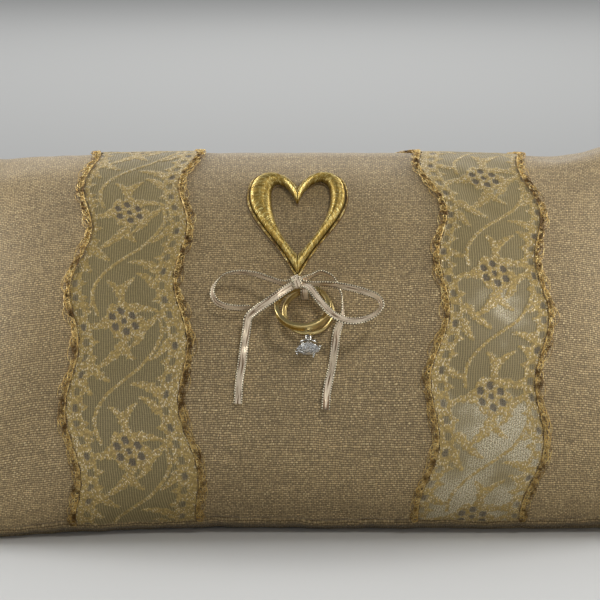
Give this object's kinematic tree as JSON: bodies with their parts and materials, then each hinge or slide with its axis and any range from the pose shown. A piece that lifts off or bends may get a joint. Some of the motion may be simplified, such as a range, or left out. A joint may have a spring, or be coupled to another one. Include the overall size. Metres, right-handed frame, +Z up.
{
  "type": "ring bearer pillow",
  "caption": "Lumbar ring bearer pillow leaning on its long edge, with lace bands, a padded heart emblem, and a ribbon bow that finger rings hang and swing from.",
  "frame": {"origin": "middle of the flat foot that the pillow stands on, at the floor", "axes": "+X along the pillow's length, +Z up, front face looks along -Y and leans back"},
  "size_m": [0.312, 0.1267, 0.1423],
  "materials": {
    "linen_cover": "woven, a few metallic threads",
    "muslin_insert": "plain woven",
    "fibre_fill": "loose fibre",
    "sewing_thread": "matt thread",
    "gold_lace": "sheer net with woven metallic motifs",
    "gold_gimp": "metallic looped edging",
    "felt": "felt",
    "gold_satin": "metallic satin stitch",
    "ribbon": "satin with metallic edges",
    "yellow_gold": "polished",
    "white_gold": "polished",
    "clear_stone": "faceted"
  },
  "bodies": {
    "pillow": {"cover_front": "linen_cover", "cover_back": "linen_cover", "insert_front": "muslin_insert", "insert_back": "muslin_insert", "fiberfill": "fibre_fill", "seam_thread": "sewing_thread", "closing_thread": "sewing_thread", "tack_stitch": "sewing_thread", "lace_left": "gold_lace", "lace_right": "gold_lace", "lace_left_edging_left": "gold_gimp", "lace_left_edging_right": "gold_gimp", "lace_right_edging_left": "gold_gimp", "lace_right_edging_right": "gold_gimp", "emblem_backing": "felt", "emblem_padding_left": "felt", "emblem_padding_right": "felt", "emblem_satin_left": "gold_satin", "emblem_satin_right": "gold_satin", "emblem_outline_cord": "gold_gimp", "bow_knot": "ribbon", "bow_loop_left": "ribbon", "bow_loop_right": "ribbon", "ribbon_tail_left_root": "ribbon", "ribbon_tail_right_root": "ribbon", "ring_hanger": "ribbon"},
    "wedding_band": {"wedding_band": "yellow_gold", "channel_stone_1": "clear_stone", "channel_stone_2": "clear_stone", "channel_stone_3": "clear_stone", "channel_stone_4": "clear_stone", "channel_stone_5": "clear_stone", "channel_stone_6": "clear_stone", "channel_stone_7": "clear_stone"},
    "engagement_ring": {"engagement_shank": "yellow_gold", "engagement_head": "white_gold", "engagement_stone": "clear_stone"},
    "tail_left": {"ribbon_tail_left": "ribbon"},
    "tail_right": {"ribbon_tail_right": "ribbon"}
  },
  "joints": [
    {"name": "wedding_band_swing", "type": "hinge", "parent": "pillow", "child": "wedding_band", "pos_m": [-0.00163, -0.02749, 0.08998], "axis": [0, -0.6878, 0.7259], "range_deg": [-9, 8]},
    {"name": "engagement_ring_swing", "type": "hinge", "parent": "pillow", "child": "engagement_ring", "pos_m": [0.00041, -0.02473, 0.08808], "axis": [0, -0.7982, 0.6024], "range_deg": [-15, 1]},
    {"name": "tail_left_lift", "type": "hinge", "parent": "pillow", "child": "tail_left", "pos_m": [-0.02127, -0.0333, 0.07946], "axis": [-1, 0, 0], "range_deg": [0, 60]},
    {"name": "tail_right_lift", "type": "hinge", "parent": "pillow", "child": "tail_right", "pos_m": [0.01226, -0.03355, 0.07868], "axis": [-1, 0, 0], "range_deg": [0, 60]}
  ]
}
